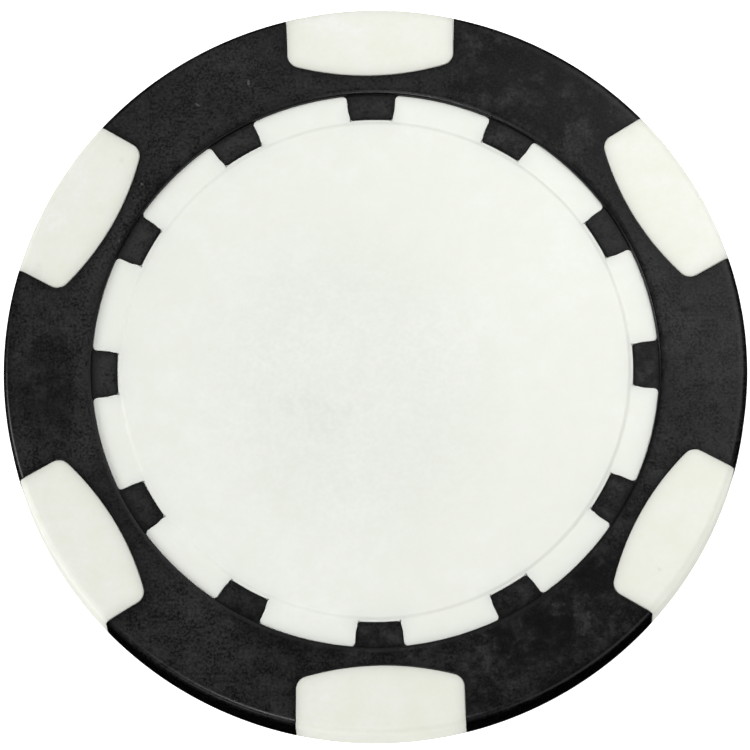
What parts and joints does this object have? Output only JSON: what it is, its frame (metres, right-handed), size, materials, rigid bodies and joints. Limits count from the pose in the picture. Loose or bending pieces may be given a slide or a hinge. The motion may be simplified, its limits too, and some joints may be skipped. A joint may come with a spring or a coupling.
{
  "type": "dealer button",
  "caption": "Round flat dealer button: black ring with white edge spots, and on each face a shallow toothed recess around a blank, slightly raised white pad.",
  "frame": {"origin": "on the button's centre line, in the plane that its back edge spots rest on", "axes": "+Z along the centre line, from the back face to the front face; +Y through the middle of edge_spot_1; the spots are numbered clockwise as seen from the front"},
  "size_m": [0.05, 0.05, 0.004],
  "materials": {
    "ring_plastic": "satin",
    "spot_plastic": "satin",
    "face_plastic": "satin",
    "slug_steel": "satin"
  },
  "bodies": {
    "root": {"outer_ring": "ring_plastic", "edge_spot_1": "spot_plastic", "edge_spot_2": "spot_plastic", "edge_spot_3": "spot_plastic", "edge_spot_4": "spot_plastic", "edge_spot_5": "spot_plastic", "edge_spot_6": "spot_plastic", "front_face": "face_plastic", "back_face": "face_plastic", "weight_slug": "slug_steel"}
  },
  "joints": []
}
